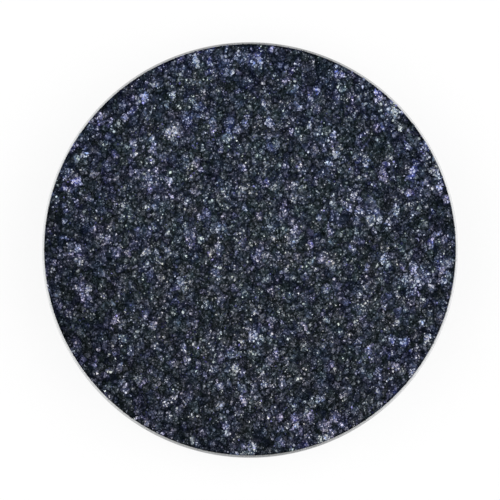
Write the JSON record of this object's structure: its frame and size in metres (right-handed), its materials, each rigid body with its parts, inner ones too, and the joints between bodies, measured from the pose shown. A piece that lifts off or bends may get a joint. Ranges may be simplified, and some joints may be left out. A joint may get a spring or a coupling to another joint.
{
  "type": "eyeshadow refill pan",
  "caption": "Round drawn tinplate pan filled to the rim with pressed dark blue-grey shimmer eyeshadow, with a blank paper label under its base; drops into a magnetic palette well.",
  "frame": {"origin": "centre of the foot ring, on the plane that the pan stands on", "axes": "+Z is the pan's axis and points up out of the powder; X and Y lie across it and are free, because the pan is turned"},
  "size_m": [0.026, 0.026, 0.004],
  "materials": {
    "tinplate": "satin",
    "shimmer_powder": "satin",
    "label_paper": "matte"
  },
  "bodies": {
    "root": {"pan": "tinplate", "powder_cake": "shimmer_powder", "base_label": "label_paper"}
  },
  "joints": []
}
